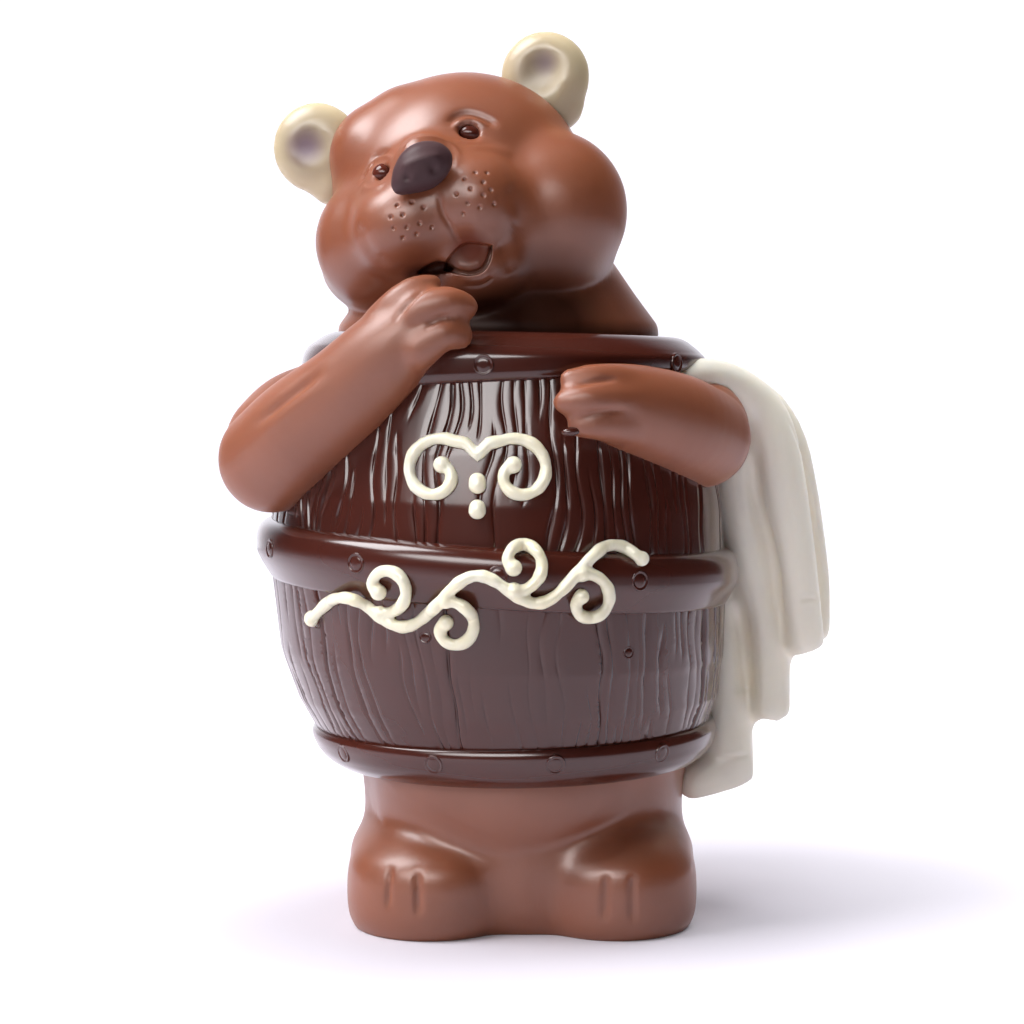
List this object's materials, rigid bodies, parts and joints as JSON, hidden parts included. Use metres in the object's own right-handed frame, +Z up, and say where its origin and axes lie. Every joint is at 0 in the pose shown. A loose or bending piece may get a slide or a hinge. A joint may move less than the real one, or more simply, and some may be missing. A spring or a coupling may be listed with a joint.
{
  "type": "chocolate bear",
  "caption": "Moulded chocolate bear standing in a dark chocolate barrel, chin on one paw, with a white chocolate towel over the other arm and piped white scrolls.",
  "frame": {"origin": "on the flat base, between the feet", "axes": "+Z up, the figure's front faces -Y, and the arm with the towel is towards +X"},
  "size_m": [0.1386, 0.1117, 0.2],
  "materials": {
    "milk_chocolate": "semi-gloss milk chocolate",
    "dark_chocolate": "glossy dark chocolate with raised white piping",
    "white_chocolate": "satin white chocolate",
    "nose_chocolate": "satin dark chocolate",
    "eye_chocolate": "glossy dark chocolate"
  },
  "bodies": {
    "root": {"bear": "milk_chocolate", "barrel": "dark_chocolate", "towel": "white_chocolate", "ear_left": "white_chocolate", "ear_right": "white_chocolate", "nose": "nose_chocolate", "eye_left": "eye_chocolate", "eye_right": "eye_chocolate"}
  },
  "joints": []
}
